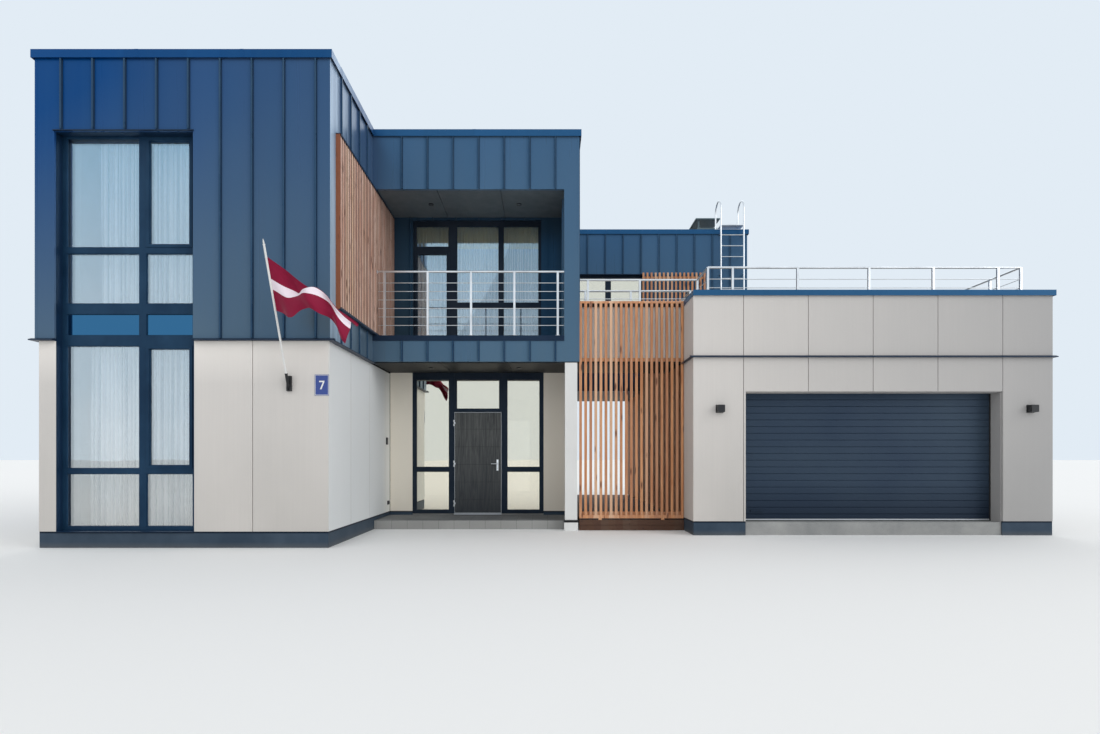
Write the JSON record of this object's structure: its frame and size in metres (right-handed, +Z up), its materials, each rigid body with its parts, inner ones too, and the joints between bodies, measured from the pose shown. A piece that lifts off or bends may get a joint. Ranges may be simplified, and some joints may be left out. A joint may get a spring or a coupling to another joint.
{
  "type": "detached modern house",
  "caption": "Flat-roofed two-storey house with metal and light panel facades, recessed porch and balcony, slatted passage and garage with roof terrace.",
  "frame": {"origin": "at ground level under the house, on the line between its front block and its middle block, halfway between front and rear", "axes": "+Z up, the street front faces -Y, +X to the right as seen from the street"},
  "size_m": [16.84, 11.6548, 8.3648],
  "materials": {
    "concrete": "cast concrete, pale grey",
    "wall_core": "masonry with light plaster",
    "roof_finish": "dark roofing membrane",
    "blue_metal": "coated standing-seam sheet, blue",
    "blue_trim": "coated sheet coping, blue",
    "light_panel": "light fibre-cement board",
    "dark_board": "dark blue-grey board",
    "larch": "oiled larch",
    "dark_wood": "dark stained deck timber",
    "dark_frame": "dark window frame",
    "soffit_board": "dark soffit board",
    "white_paint": "white paint",
    "clear_glass": "clear window glass",
    "door_grey": "anthracite wood grain",
    "stainless": "brushed stainless steel",
    "garage_grey": "ribbed coated steel, anthracite",
    "black_metal": "black metal",
    "blue_enamel": "blue enamel with a white rim",
    "striped_fabric": "flag cloth in plain stripes",
    "sheer_fabric": "sheer white curtain cloth"
  },
  "bodies": {
    "house": {"house_foundation": "concrete", "garage_foundation": "concrete", "porch_step": "concrete", "passage_deck": "dark_wood", "front_wall": "wall_core", "left_wall": "wall_core", "recess_side_wall": "wall_core", "porch_walls": "wall_core", "balcony_wall": "wall_core", "balcony_portal": "wall_core", "passage_wall": "wall_core", "rear_wall": "wall_core", "upper_front_wall": "wall_core", "upper_end_wall": "wall_core", "garage_front_wall": "wall_core", "garage_side_walls": "wall_core", "garage_rear_wall": "wall_core", "first_floor": "concrete", "terrace_slab": "concrete", "upper_block_floor": "concrete", "house_roof": "roof_finish", "bridge": "light_panel", "metal_cladding": "blue_metal", "facade_panels": "light_panel", "plinth": "dark_board", "drip_flashing": "dark_board", "copings": "blue_trim", "reveal_linings": "blue_trim", "side_timber": "larch", "slat_screen": "larch", "passage_slats": "larch", "terrace_slats": "larch", "soffits": "soffit_board", "corner_post": "white_paint", "front_window": "dark_frame", "balcony_window": "dark_frame", "entrance_frame": "dark_frame", "upper_window": "dark_frame", "plain_windows": "dark_frame", "window_glass": "clear_glass", "door_hinges": "stainless", "garage_door": "garage_grey", "balcony_railing": "stainless", "terrace_railing": "stainless", "bridge_railing": "stainless", "roof_ladder": "stainless", "chimney": "dark_board", "lamps": "black_metal", "wall_fittings": "black_metal", "number_plate": "blue_enamel", "flag_bracket": "black_metal", "flag_pole": "white_paint", "flag": "striped_fabric", "curtain_tracks": "white_paint", "curtains": "sheer_fabric"},
    "front_door": {"door_leaf": "door_grey", "leaf_hinges": "stainless", "door_handle": "stainless"}
  },
  "joints": [
    {"name": "front_door_swing", "type": "hinge", "parent": "house", "child": "front_door", "pos_m": [1.33, -1.513, 1.25], "axis": [0, 0, -1], "range_deg": [0, 100]}
  ]
}
